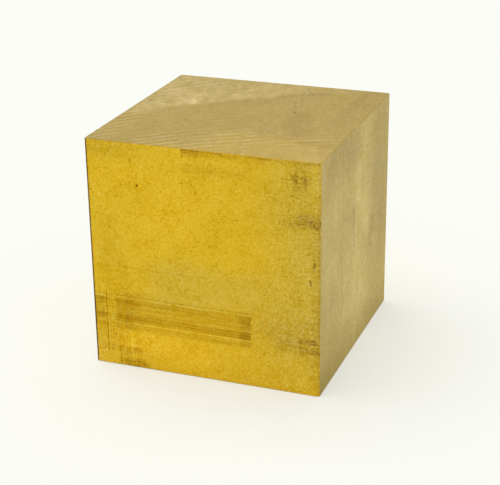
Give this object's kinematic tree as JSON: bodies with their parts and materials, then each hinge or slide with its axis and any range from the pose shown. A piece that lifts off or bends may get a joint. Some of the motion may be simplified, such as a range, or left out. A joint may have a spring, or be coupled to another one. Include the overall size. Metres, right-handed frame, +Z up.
{
  "type": "brass cube",
  "caption": "Solid brass cube sawn from drawn square bar, with flat sawn ends, four drawn sides and softly rounded upright edges.",
  "frame": {"origin": "middle of the lower sawn end, on the surface that the cube stands on", "axes": "+Z up along the drawn bar, +X to the right across the front face, and the front face looks along -Y"},
  "size_m": [0.0508, 0.0508, 0.0508],
  "materials": {
    "brass": "drawn mill skin on the sides with a light tarnish, fine saw marks on the two ends"
  },
  "bodies": {
    "root": {"block": "brass"}
  },
  "joints": []
}
